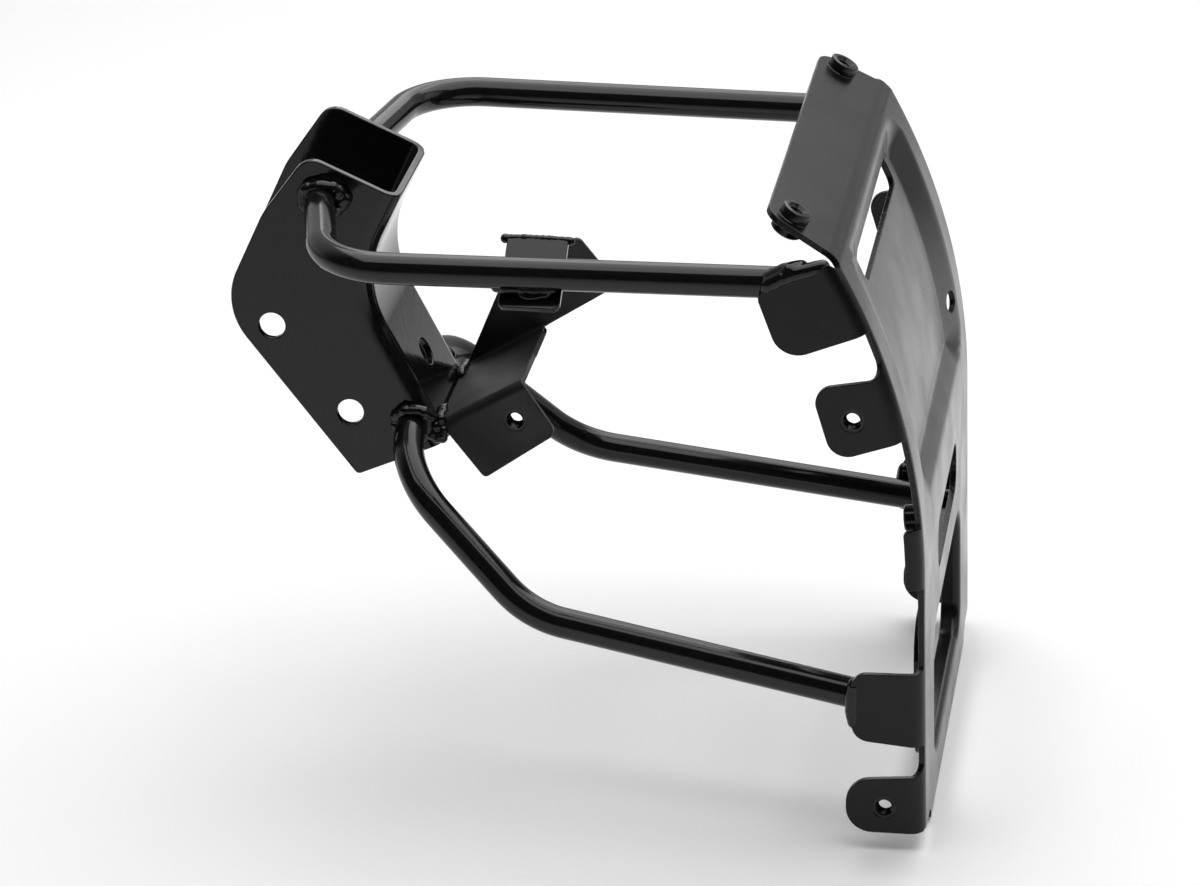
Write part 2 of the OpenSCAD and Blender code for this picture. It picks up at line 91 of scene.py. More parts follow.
def rounded(corners, spacing=1.5, closed=True):
    """outline whose corners are (x, y, radius); radius 0 keeps a corner sharp"""
    points = []
    for i, (x, y, r) in enumerate(corners):
        p = np.array((x, y), float)
        if r == 0:
            points.append(p)
            continue
        before = np.array(corners[i - 1][:2], float)
        after = np.array(corners[(i + 1) % len(corners)][:2], float)
        u, v = unit(before - p), unit(after - p)
        half = math.acos(float(np.clip(u @ v, -1, 1))) / 2
        centre = p + unit(u + v) * r / math.sin(half)
        first, last = p + u * r / math.tan(half) - centre, p + v * r / math.tan(half) - centre
        start = math.atan2(first[1], first[0])
        turn = (math.atan2(last[1], last[0]) - start + math.pi) % (2 * math.pi) - math.pi
        steps = max(4, math.ceil(abs(turn) * r / 0.8))
        for k in range(steps + 1):
            a = start + turn * k / steps
            points.append(centre + r * np.array((math.cos(a), math.sin(a))))
    return dense(points, spacing, closed)


def box_outline(w, h, r, centre=(0, 0), spacing=1.5):
    x, y = centre
    return rounded([(x - w / 2, y - h / 2, r), (x + w / 2, y - h / 2, r),
                    (x + w / 2, y + h / 2, r), (x - w / 2, y + h / 2, r)], spacing)


def circle(centre, r, count=40):
    a = np.arange(count) * 2 * math.pi / count
    return np.stack((centre[0] + r * np.cos(a), centre[1] + r * np.sin(a)), 1)


def inside(points, loops):
    """which points have the sheet's material round them"""
    hit = np.zeros(len(points), bool)
    x, y = points[:, 0], points[:, 1]
    for loop in loops:
        for (x0, y0), (x1, y1) in zip(loop, np.roll(loop, -1, axis=0)):
            if y0 != y1:
                hit ^= (y >= min(y0, y1)) & (y < max(y0, y1)) & (x < x0 + (y - y0) * (x1 - x0) / (y1 - y0))
    return hit


def clear_of(points, loops, gap):
    keep = np.ones(len(points), bool)
    for loop in loops:
        for q in loop:
            keep &= np.hypot(points[:, 0] - q[0], points[:, 1] - q[1]) > gap
    return keep


def turning(loop):
    """positive where a loop runs anticlockwise"""
    ahead = np.roll(loop, -1, axis=0)
    return np.sum(loop[:, 0] * ahead[:, 1] - loop[:, 1] * ahead[:, 0])


# ---- pieces ----

def piece(name, points, faces, paint, nodes, normals=None, rim=None, crease=38):
    mesh = bpy.data.meshes.new(name)
    mesh.from_pydata([tuple(p) for p in np.asarray(points, float) * MM], [], faces)
    mesh.polygons.foreach_set("use_smooth", [True] * len(mesh.polygons))
    if rim is None:
        rim = np.zeros(len(points))
    attribute = mesh.attributes.new("rim", "FLOAT", "POINT")
    attribute.data.foreach_set("value", np.asarray(rim, np.float32))
    if normals is None:
        mesh.set_sharp_from_angle(angle=math.radians(crease))
    else:
        mesh.normals_split_custom_set_from_vertices([tuple(n) for n in normals])
    mesh.materials.append(paint)
    obj = bpy.data.objects.new(name, mesh)
    scene.collection.objects.link(obj)
    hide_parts(*nodes)
    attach(obj, "root")
    return obj


def slopes(place, flat):
    """the two directions of a bent sheet and its outward normal at flat points"""
    e = 1e-3
    du = (place(flat + (e, 0)) - place(flat - (e, 0))) / (2 * e)
    dv = (place(flat + (0, e)) - place(flat - (0, e))) / (2 * e)
    return du, dv, unit(np.cross(du, dv))


def dot(a, b):
    return np.sum(a * b, axis=-1)


def sheet(name, place, loops, seeds, thickness, paint, nodes, bevel=0.45):
    """sheet metal cut to flat loops, the outer one first, and bent by place(); its edges are rounded"""
    loops = [loop if (turning(loop) > 0) == (i == 0) else loop[::-1] for i, loop in enumerate(loops)]
    insets, edges = [], []
    for loop in loops:
        points = place(loop)
        du, dv, n = slopes(place, loop)
        ahead = unit(np.roll(points, -1, axis=0) - points)
        left_ahead, left_behind = np.cross(n, ahead), np.cross(n, np.roll(ahead, 1, axis=0))
        mitre = (left_ahead + left_behind) / np.maximum(1 + dot(left_ahead, left_behind), 0.6)[:, None]
        uu, uv, vv, mu, mv = dot(du, du), dot(du, dv), dot(dv, dv), dot(mitre, du), dot(mitre, dv)
        inward = np.stack((vv * mu - uv * mv, uu * mv - uv * mu), 1) / (uu * vv - uv * uv)[:, None]
        edges.append((loop, inward, -unit(mitre)))
        insets.append(loop + bevel * inward)
    seeds = seeds[inside(seeds, insets)]
    seeds = seeds[clear_of(seeds, insets, 0.7)]
    flat_in = np.concatenate(insets + [seeds])
    ties, first = [], 0
    for loop in insets:
        ties += [(first + k, first + (k + 1) % len(loop)) for k in range(len(loop))]
        first += len(loop)
    flat, _, tris, origin, _, _ = delaunay_2d_cdt([Vector(p) for p in flat_in], ties, [], 0, 1e-7)
    flat = np.array([tuple(p) for p in flat])
    where = {i: j for j, ids in enumerate(origin) for i in ids}
    tris = np.array([t for t in tris if len(t) == 3])
    tris = tris[inside(flat[tris].mean(axis=1), insets)]
    a, b, c = flat[tris[:, 0]], flat[tris[:, 1]], flat[tris[:, 2]]
    area = (b - a)[:, 0] * (c - a)[:, 1] - (b - a)[:, 1] * (c - a)[:, 0]
    tris = np.where((area < 0)[:, None], tris[:, ::-1], tris)[np.abs(area) > 1e-7]
    n = slopes(place, flat)[2]
    front = place(flat)
    points, normals, rim = [front, front - n * thickness], [n, -n], [np.zeros(len(flat)), np.zeros(len(flat))]
    count = len(flat)
    faces = tris.tolist() + (tris[:, ::-1] + count).tolist()
    total, first = 2 * count, 0
    for loop, inward, outward in edges:
        size = len(loop)
        rings = [[where[first + k] for k in range(size)]]
        for degrees, back in [(30, 0), (60, 0), (90, 0), (90, 1), (60, 1), (30, 1)]:
            s, co = math.sin(math.radians(degrees)), math.cos(math.radians(degrees))
            ring = loop + inward * bevel * (1 - s)
            m = slopes(place, ring)[2]
            deep = bevel * (1 - co) if back == 0 else thickness - bevel * (1 - co)
            points.append(place(ring) - m * deep)
            normals.append(unit(outward * s + m * co * (1 if back == 0 else -1)))
            rim.append(np.full(size, 1.0))
            rings.append(list(range(total, total + size)))
            total += size
        rings.append([where[first + k] + count for k in range(size)])
        for near, far in zip(rings, rings[1:]):
            for k in range(size):
                m = (k + 1) % size
                faces.append((near[k], far[k], far[m], near[m]))
        first += size
    return piece(name, np.concatenate(points), faces, paint, nodes,
                 np.concatenate(normals), np.concatenate(rim))


def grid(us, vs):
    u, v = np.meshgrid(us, vs)
    return np.stack((u.ravel(), v.ravel()), 1)


def bent_path(corners, radii):
    """points and directions along a bar that bends round its inner corners"""
    corners = [np.array(c, float) for c in corners]
    dirs = [unit(b - a) for a, b in zip(corners, corners[1:])]
    points, ways = [corners[0]], [dirs[0]]
    for p, a, b, r in zip(corners[1:], dirs, dirs[1:], radii):
        angle = math.acos(float(a @ b))
        z = unit(np.cross(a, b))
        x = np.cross(a, z)
        start = p - a * r * math.tan(angle / 2)
        steps = max(6, math.ceil(math.degrees(angle) / 2.5))
        for k in range(steps + 1):
            t = angle * k / steps
            points.append(start - x * r + r * (x * math.cos(t) + a * math.sin(t)))
            ways.append(a * math.cos(t) - x * math.sin(t))
    return np.array(points + [corners[-1]]), np.array(ways + [dirs[-1]])


def bar(name, corners, radii, node, cut_y=None):
    """round bar along a bent path, with small chamfers at its ends; cut_y trims it inside a saddle plate"""
    points, ways = bent_path(corners, radii)
    tip = BAR_R - BAR_CHAMFER
    rows = [(points[0], ways[0], tip), (points[0] + ways[0] * BAR_CHAMFER, ways[0], BAR_R)]
    rows += [(p, w, BAR_R) for p, w in zip(points[1:-1], ways[1:-1])]
    rows += [(points[-1] - ways[-1] * BAR_CHAMFER, ways[-1], BAR_R), (points[-1], ways[-1], tip)]
    side = unit(np.cross(ways[0], (0.1, 0.2, 1)))
    verts = []
    for p, w, radius in rows:
        side = unit(side - w * (side @ w))
        up = np.cross(w, side)
        for k in range(AROUND):
            a = 2 * math.pi * k / AROUND
            verts.append(p + radius * (side * math.cos(a) + up * math.sin(a)))
    faces = []
    for i in range(len(rows) - 1):
        for k in range(AROUND):
            m = (k + 1) % AROUND
            faces.append((i * AROUND + k, i * AROUND + m, (i + 1) * AROUND + m, (i + 1) * AROUND + k))
    faces.append(tuple(reversed(range(AROUND))))
    faces.append(tuple(range((len(rows) - 1) * AROUND, len(rows) * AROUND)))
    obj = piece(name, verts, faces, bar_paint, [node], crease=30)
    if cut_y is not None:
        bm = bmesh.new()
        bm.from_mesh(obj.data)
        found = bmesh.ops.bisect_plane(bm, geom=bm.verts[:] + bm.edges[:] + bm.faces[:], dist=1e-6,
                                       plane_co=(0, cut_y * MM, 0), plane_no=(0, 1, 0), clear_outer=True)
        rim = [e for e in found["geom_cut"] if isinstance(e, bmesh.types.BMEdge)]
        bmesh.ops.holes_fill(bm, edges=rim, sides=0)
        bm.to_mesh(obj.data)
        bm.free()
    return obj


def drops(path, r, seed, closed=False, spacing=1.3, wander=0.35, uneven=0.22):
    """overlapping drops of weld metal along a path, uneven as a hand-made bead is"""
    path = dense(path, spacing, closed)
    out = []
    for k, p in enumerate(path):
        s = Vector((seed * 7.3, k * 0.45, seed * 1.7))
        shift = np.array([noise.noise(s + Vector((9 * i, 3 * i, 0))) for i in range(3)])
        size = r * (1 + uneven * (noise.noise(s * 1.9 + Vector((3, 1, 2))) + (0.2 if k % 2 else -0.15)))
        out.append((*(p + shift * wander * 1.5), size))
    return out


def weld(name, spots, node, voxel=0.42, ease=3):
    """drops (x, y, z, radius) melted together into one smooth lump"""
    bm = bmesh.new()
    for x, y, z, r in spots:
        bmesh.ops.create_icosphere(bm, subdivisions=3, radius=r * MM,
                                   matrix=Matrix.Translation((x * MM, y * MM, z * MM)))
    rough = bpy.data.meshes.new(name + "_drops")
    bm.to_mesh(rough)
    bm.free()
    lump = bpy.data.objects.new(name + "_drops", rough)
    scene.collection.objects.link(lump)
    melt = lump.modifiers.new("melt", "REMESH")
    melt.mode = "VOXEL"
    melt.voxel_size = voxel * MM
    smooth = lump.modifiers.new("ease", "SMOOTH")
    smooth.factor = 0.5
    smooth.iterations = ease
    done = lump.evaluated_get(bpy.context.evaluated_depsgraph_get()).to_mesh()
    points = np.array([v.co for v in done.vertices]) / MM
    faces = [tuple(p.vertices) for p in done.polygons]
    bpy.data.objects.remove(lump)
    bpy.data.meshes.remove(rough)
    return piece(name, points, faces, weld_paint, [node], crease=180)


def lathe(name, rings, origin, axis, node):
    """ring-shaped piece turned from (radius, height, threaded) steps that close on themselves"""
    axis = unit(np.array(axis, float))
    x = unit(np.cross(axis, (0.3, 0.2, 1) if abs(axis[2]) < 0.9 else (1, 0, 0)))
    y = np.cross(axis, x)
    verts = []
    for r, h, threaded in rings:
        for k in range(AROUND):
            a = 2 * math.pi * k / AROUND
            phase = (h / THREAD_PITCH - k / AROUND) % 1.0
            ridge = THREAD_DEPTH * (1 - abs(2 * phase - 1))
            radius = r - THREAD_DEPTH + ridge if threaded else r
            verts.append(np.array(origin, float) + axis * h
                         + radius * (x * math.cos(a) + y * math.sin(a)))
    faces = []
    for i in range(len(rings)):
        j = (i + 1) % len(rings)
        for k in range(AROUND):
            m = (k + 1) % AROUND
            faces.append((i * AROUND + k, i * AROUND + m, j * AROUND + m, j * AROUND + k))
    obj = piece(name, verts, faces, thread_paint, [node], crease=TURNED_CREASE)
    bm = bmesh.new()
    bm.from_mesh(obj.data)
    bmesh.ops.recalc_face_normals(bm, faces=bm.faces[:])
    bm.to_mesh(obj.data)
    bm.free()
    obj.data.set_sharp_from_angle(angle=math.radians(TURNED_CREASE))
    return obj


def bore(low, high):
    """threaded wall from the upper end to the lower end, with a countersink at each"""
    sink = 0.35
    count = max(6, round((high - low) * 7))
    wall = [(THREAD_R, low + (high - low) * k / count, True) for k in range(1, count)][3:-3]
    upper = [(THREAD_R + sink, high, False), (THREAD_R, high - sink, False)]
    return upper + wall[::-1] + [(THREAD_R, low + sink, False), (THREAD_R + sink, low, False)]


# ---- paint ----

BLACK, WORN_BLACK = (0.0045, 0.0047, 0.0052), (0.06, 0.06, 0.062)


def black_paint(name, rough, ior, peel=0.12, worn=0.5):
    """gloss black paint: faint orange peel, mottled tone, dull patches, and thinner paint on sharp edges"""
    grain = 0.22
    m = bpy.data.materials.new(name)
    m.use_nodes = True
    nodes, links = m.node_tree.nodes, m.node_tree.links
    shader = nodes["Principled BSDF"]
    shader.inputs["IOR"].default_value = ior
    shader.inputs["Coat Weight"].default_value = 0.0
    where = nodes.new("ShaderNodeTexCoord").outputs["Object"]

    def speck(scale, detail):
        n = nodes.new("ShaderNodeTexNoise")
        n.inputs["Scale"].default_value = scale
        n.inputs["Detail"].default_value = detail
        links.new(where, n.inputs["Vector"])
        return n.outputs["Fac"]

    def ranged(value, a, b, c, d):
        n = nodes.new("ShaderNodeMapRange")
        for i, v in enumerate((a, b, c, d)):
            n.inputs[i + 1].default_value = v
        links.new(value, n.inputs[0])
        return n.outputs[0]

    def maths(kind, one, two):
        n = nodes.new("ShaderNodeMath")
        n.operation = kind
        for i, v in enumerate((one, two)):
            if isinstance(v, float):
                n.inputs[i].default_value = v
            else:
                links.new(v, n.inputs[i])
        return n.outputs[0]

    rim = nodes.new("ShaderNodeAttribute")
    rim.attribute_name = "rim"
    wear = maths("MULTIPLY", rim.outputs["Fac"], ranged(speck(260, 4), 0.5, 0.72, 0.0, worn))
    tone = nodes.new("ShaderNodeMix")
    tone.data_type = "RGBA"
    tone.inputs[6].default_value = (*[c * (1 - grain) for c in BLACK], 1)
    tone.inputs[7].default_value = (*[c * (1 + 2 * grain) for c in BLACK], 1)
    links.new(ranged(speck(420, 6), 0.3, 0.7, 0.0, 1.0), tone.inputs[0])
    edge = nodes.new("ShaderNodeMix")
    edge.data_type = "RGBA"
    edge.inputs[7].default_value = (*WORN_BLACK, 1)
    links.new(wear, edge.inputs[0])
    links.new(tone.outputs[2], edge.inputs[6])
    links.new(edge.outputs[2], shader.inputs["Base Color"])
    dull = ranged(speck(38, 5), 0.35, 0.75, rough * 0.85, rough * 1.35)
    fine = ranged(speck(1500, 2), 0.3, 0.7, -0.03, 0.03)
    worn_dull = maths("MULTIPLY", wear, 0.2)
    links.new(maths("ADD", maths("ADD", dull, fine), worn_dull), shader.inputs["Roughness"])
    bump = nodes.new("ShaderNodeBump")
    bump.inputs["Strength"].default_value = peel
    bump.inputs["Distance"].default_value = 0.0002
    links.new(maths("ADD", speck(240, 2), maths("MULTIPLY", speck(900, 3), 0.25)), bump.inputs["Height"])
    links.new(bump.outputs["Normal"], shader.inputs["Normal"])
    return m


sheet_paint = black_paint("black_paint_on_sheet", 0.09, 1.4)
plate_paint = black_paint("black_paint_on_plate", 0.22, 1.33)
bracket_paint = black_paint("black_paint_on_bracket", 0.42, 1.45)
bar_paint = black_paint("black_paint_on_bar", 0.13, 1.43, peel=0.06)
weld_paint = black_paint("black_paint_on_weld", 0.09, 1.4, worn=0.2)
thread_paint = black_paint("black_paint_on_thread", 0.15, 1.4, peel=0.1, worn=0.7)


# ---- saddle ----

HALF_SADDLE, SADDLE_T, SADDLE_FOLD = 30.0, 3.0, 7.0
LAG = {RIGHT: 0.0, LEFT: 3.0}      # the left side sits this much further back
BOLT_HOLES, BOLT_HOLE_R = ((0, 0), (30, -35)), 5.25
WEB_HOLE, WEB_HOLE_R = (55.0, -20.0), 5.5
low, mid, top = np.array((68.5, -46.5)), np.array((35.2, 18.9)), np.array((54.8, 60.0))   # the web's line
WAIST_R = 42.0
down_dir, up_dir = unit(low - mid), unit(top - mid)
back_low = np.array((down_dir[1], -down_dir[0]))
back_top = np.array((-up_dir[1], up_dir[0]))
waist_half = math.acos(float(back_low @ back_top)) / 2
waist_c = mid - unit(back_low + back_top) * WAIST_R / math.cos(waist_half)
waist_start = mid + down_dir * WAIST_R * math.tan(waist_half)
waist_end = mid + up_dir * WAIST_R * math.tan(waist_half)
a_low = math.atan2(back_low[1], back_low[0]) % (2 * math.pi)
waist_len = 2 * waist_half * WAIST_R


def fold(u, half, r):
    """sideways place and depth of a sheet folded back at both sides, u along its outer face"""
    over = np.maximum(np.abs(u) - (half - r), 0)
    phi = np.minimum(over / r, math.pi / 2)
    y = np.sign(u) * (np.minimum(np.abs(u), half - r) + r * np.sin(phi))
    return y, r * (1 - np.cos(phi)) + np.maximum(over - r * math.pi / 2, 0)


def unfold(depth, half, r):
    """distance from the middle, along the outer face, of a point at this depth"""
    depth = np.asarray(depth, float)
    bend = half - r + r * np.arccos(np.clip(1 - depth / r, 0, 1))
    return np.where(depth < r, bend, half - r + r * math.pi / 2 + depth - r)


def web_point(s, depth):
    """side-view point of the saddle: s up the web from the waist, depth behind the web"""
    s, depth = s[:, None], depth[:, None]
    a = a_low - s / WAIST_R
    waist = waist_c + (WAIST_R + depth) * np.concatenate((np.cos(a), np.sin(a)), 1)
    return np.where(s < 0, waist_start - down_dir * s + back_low * depth,
                    np.where(s > waist_len, waist_end + up_dir * (s - waist_len) + back_top * depth, waist))


def web_place(p):
    """web_point's s and depth for side-view points"""
    v = p - waist_c
    a = np.arctan2(v[:, 1], v[:, 0]) % (2 * math.pi)
    s, depth = (a_low - a) * WAIST_R, np.hypot(v[:, 0], v[:, 1]) - WAIST_R
    under, over = a > a_low, a < a_low - 2 * waist_half
    from_start, from_end = p - waist_start, p - waist_end
    s = np.where(under, -from_start @ down_dir, np.where(over, waist_len + from_end @ up_dir, s))
    depth = np.where(under, from_start @ back_low, np.where(over, from_end @ back_top, depth))
    return s, depth


def saddle_point(flat):
    y, depth = fold(flat[:, 0], HALF_SADDLE, SADDLE_FOLD)
    xz = web_point(flat[:, 1], depth)
    return np.stack((xz[:, 0], y, xz[:, 1]), 1)


def on_saddle(points, side):
    s, depth = web_place(points)
    return np.stack((side * unfold(np.maximum(depth, 0), HALF_SADDLE, SADDLE_FOLD), s), 1)


def saddle_side(side):
    """one plate's outline, from the web's lower edge round the back to its upper edge"""
    lag = LAG[side]
    line = rounded([(68.9, -45.74, 0), (32, -61.7, 2), (-20.2 - lag, 7.4, 27), (-2 - lag, 46.5, 30),
                    (16.2 - lag, 71 + lag * 0.45, 8), (52.3, 54.68, 0)], 1.2, closed=False)
    s, depth = web_place(line)
    return on_saddle(line[depth > 0.02], side)


def saddle():
    right, left = saddle_side(RIGHT), saddle_side(LEFT)
    across = HALF_SADDLE - SADDLE_FOLD - 1
    s_low, s_high = left[0, 1], left[-1, 1]
    bottom = dense([(-across, s_low), (across, s_low)], 2, closed=False)
    upper = dense([(across, s_high), (-across, s_high)], 2, closed=False)
    outer = np.concatenate((bottom, left, upper, right[::-1]))
    holes = [on_saddle(circle(c, BOLT_HOLE_R), side) for side in (RIGHT, LEFT) for c in BOLT_HOLES]
    s_hole = web_place(np.array([WEB_HOLE]))[0][0]
    holes.append(circle((0, s_hole), WEB_HOLE_R, 36))
    edge = HALF_SADDLE - SADDLE_FOLD
    fine, coarse = np.arange(edge, edge + 12, 0.8), np.arange(edge + 13.5, 105, 2.5)
    us = np.concatenate((np.arange(-edge + 2, edge - 1, 2.5), fine, -fine, coarse, -coarse))
    seeds = grid(us, np.arange(s_low - 30, s_high + 40, 1.9))
    sheet("saddle_sheet", saddle_point, [outer] + holes, seeds, SADDLE_T, sheet_paint,
          ["saddle"], bevel=0.6)


# ---- front plate ----

HALF_PLATE, PLATE_T, PLATE_R, PLATE_FOLD, LEAN = 104.0, 2.5, 265.0, 6.0, 1.2
PANEL_DEPTH, PANEL_FLOOR, PANEL_WALL = 5.0, 60.0, 22.0           # half the floor's width; a slope's width
PANEL_LOW, PANEL_HIGH, PANEL_SLOPE = 7.8, 26.0, 2.4              # degrees round the plate's curve
LIP_R, LIP_RUN = 3.4, 6.5                                        # the lip's roll, and its reach when flat
ARC_TOP, FLANGE_A, BEND_R, FLANGE_LEN, PLATE_LOW = 29.0, 151.0, 12.0, 26.2, -172.7
FLANGE_HOLES = {"upper": (234.8, 3.7), "lower": (248.7, -155.8)}
COLLAR_Y, COLLAR_BACK = 83.5, 16.3
PANEL_HOLE_Y, PANEL_HOLE_ANGLE = 75.0, 10.3
WINDOW, WINDOW_ANGLE = (108.0, 12.6, 4.0), 25.2                   # width, height and corner radius
SLOT, SLOT_Z = (84.0, 21.0, 8.0), -74.5
PLATE_BACK = 233.9                                               # rear edge of the lower bolt flanges
CUT_DEPTH = 0.55                                                 # the fold is cut off here between flanges
EAR_LOW, EAR_HIGH, EAR_DEPTH = -64.0, -40.0, 7.0
arc_c = np.array((-2.7, -66.0))
low_dir, low_n = turned(LEAN - 90), turned(LEAN)
arc_start = arc_c + PLATE_R * low_n
S_ARC = PLATE_R * math.radians(ARC_TOP - LEAN)
bend_c = arc_c + (PLATE_R - BEND_R) * turned(ARC_TOP)
FLANGE_N = FLANGE_A - 90
BEND_LEN = BEND_R * math.radians(FLANGE_N - ARC_TOP)
bend_end = bend_c + BEND_R * turned(FLANGE_N)
S_END = S_ARC + BEND_LEN + FLANGE_LEN


def s_of(z):
    """distance along the plate's straight half, below the start of the curve"""
    return (z - arc_start[1]) / math.cos(math.radians(LEAN))


def s_at(degrees):
    """distance along the plate's face of a place on the curve"""
    return PLATE_R * math.radians(degrees - LEAN)


def plate_line(s, depth, beside):
    """side-view point of the plate; beside is true on the side flanges, which have no top bend"""
    s, depth, beside = s[:, None], depth[:, None], beside[:, None]
    a = math.radians(LEAN) + s / PLATE_R
    curve = arc_c + (PLATE_R - depth) * np.concatenate((np.cos(a), np.sin(a)), 1)
    line = arc_start - low_dir * s - low_n * depth
    b = math.radians(ARC_TOP) + (s - S_ARC) / BEND_R
    bend = bend_c + (BEND_R - depth) * np.concatenate((np.cos(b), np.sin(b)), 1)
    flange = bend_end + turned(FLANGE_A) * (s - S_ARC - BEND_LEN) - turned(FLANGE_N) * depth
    top_part = np.where(s < S_ARC + BEND_LEN, bend, flange)
    return np.where(s < 0, line, np.where((s > S_ARC) & ~beside, top_part, curve))


def plate_place(p):
    """plate_line's s and depth for side-view points of the flanges"""
    v = p - arc_c
    a = np.arctan2(v[:, 1], v[:, 0])
    bent = a > math.radians(LEAN)
    s = np.where(bent, PLATE_R * (a - math.radians(LEAN)), -(p - arc_start) @ low_dir)
    return s, np.where(bent, PLATE_R - np.hypot(v[:, 0], v[:, 1]), -(p - arc_start) @ low_n)


def soft_ramp(x):
    """0 to 1 in a straight ramp with rounded ends"""
    k = 0.05

    def h(t):
        return k * (np.logaddexp(0, t / k) - np.logaddexp(0, (t - 1) / k))

    return (h(x) - h(0.0)) / (h(1.0) - h(0.0))


def panel(u, s):
    """depth of the drawn panel"""
    a = LEAN + np.degrees(s / PLATE_R)
    beyond = np.maximum((np.abs(u) - PANEL_FLOOR) / PANEL_WALL, 0)
    past = np.maximum(np.maximum((PANEL_LOW - a) / PANEL_SLOPE, (a - PANEL_HIGH) / PANEL_SLOPE), 0)
    return PANEL_DEPTH * soft_ramp(np.clip(1 - np.hypot(beyond, past), 0, 1))


OPEN_W, OPEN_H, OPEN_R, S_OPEN = 120.0, 54.0, 12.0, s_of(-129)


def rolled(u, s):
    """the sheet rolls back into a lip round the lower opening: new u and s, and depth"""
    x, y = u, s - S_OPEN
    qx, qy = np.abs(x) - (OPEN_W / 2 - OPEN_R), np.abs(y) - (OPEN_H / 2 - OPEN_R)
    px, py = np.maximum(qx, 0), np.maximum(qy, 0)
    out = np.hypot(px, py)
    q = out + np.minimum(np.maximum(qx, qy), 0) - OPEN_R
    corner = out > 1e-9
    gx = np.where(corner, px / np.maximum(out, 1e-9), (qx > qy) * 1.0) * np.sign(x)
    gy = np.where(corner, py / np.maximum(out, 1e-9), (qx <= qy) * 1.0) * np.sign(y)
    over = np.maximum(LIP_R - q, 0)
    phi = np.minimum(over / LIP_R, math.pi / 2)
    move = np.where(q < LIP_R, LIP_R * (1 - np.sin(phi)) - q, 0)
    depth = LIP_R * (1 - np.cos(phi)) + np.maximum(over - LIP_R * math.pi / 2, 0)
    return u + gx * move, s + gy * move, depth


def plate_point(flat):
    u, s, lip = rolled(flat[:, 0], flat[:, 1])
    y, depth = fold(u, HALF_PLATE, PLATE_FOLD)
    xz = plate_line(s, depth + lip + panel(u, s), np.abs(u) > 97.6)
    return np.stack((xz[:, 0], y, xz[:, 1]), 1)


def meet(p, q, deep):
    """where the side-view line from p to q reaches this depth behind the plate's face"""
    p, q = np.array(p, float), np.array(q, float)
    a, b = 0.0, 1.0
    for _ in range(40):
        m = (a + b) / 2
        if plate_place((p + (q - p) * m)[None])[1][0] > deep:
            a = m
        else:
            b = m
    return p + (q - p) * b


def cut_at(z, deep, r):
    """corner of radius r where the sheet is cut at this height and depth"""
    return (meet((180, z), (285, z), deep)[0], z, r)


def cut_line(z0, z1, deep):
    """corners of a cut at one depth, from one height to another"""
    count = max(2, int(abs(z1 - z0) / 4) + 1)
    return [cut_at(z, deep, 0) for z in np.linspace(z0, z1, count)]


def plate_side(side):
    """one side's cut line from the bottom to the top: bolt flange, weld flange, ear, bolt flange, tab"""
    back = PLATE_BACK + LAG[side]

    def root(p, q, r):
        x, z = meet(p, q, CUT_DEPTH)
        return (x, z, r)

    upper_low, upper_high = root((227.6, -13.1), (266, 0.1), 0.4), root((219, 15.6), (266, 24.2), 6)
    corners = [(263.5, -166.6, 0), (back, -166.8, 10)]
    corners += [(back, -144.8, 10), root((back, -144.8), (270, -141.5), 5)]
    corners += [root((235.8, -127.6), (270, -130.6), 0.4), (235.8, -127.6, 7)]
    corners += [(235.2, -99.8, 6), root((235.2, -99.8), (270, -99), 2.5)]
    corners += cut_line(-94, EAR_LOW - 4, CUT_DEPTH)
    corners += [cut_at(EAR_LOW - 0.5, CUT_DEPTH, 0.5), cut_at(EAR_LOW, EAR_DEPTH, 1.5)]
    corners += cut_line(EAR_LOW + 4, EAR_HIGH - 4, EAR_DEPTH)
    corners += [cut_at(EAR_HIGH - 0.5, EAR_DEPTH, 1.5), cut_at(EAR_HIGH, CUT_DEPTH, 0.5)]
    corners += cut_line(EAR_HIGH + 3, upper_low[1] - 8, CUT_DEPTH)
    corners += [upper_low, (227.6, -13.1, 8), (219, 15.6, 7), upper_high]
    corners += [root((208.3, 25.7), (250, 42.1), 0.4), (208.3, 25.7, 10), (198.6, 52.2, 4), (225.2, 64.75, 0)]
    line = rounded(corners, 1.2, closed=False)
    s, depth = plate_place(line)
    return np.stack((side * unfold(np.maximum(depth, 0.3), HALF_PLATE, PLATE_FOLD), s), 1)


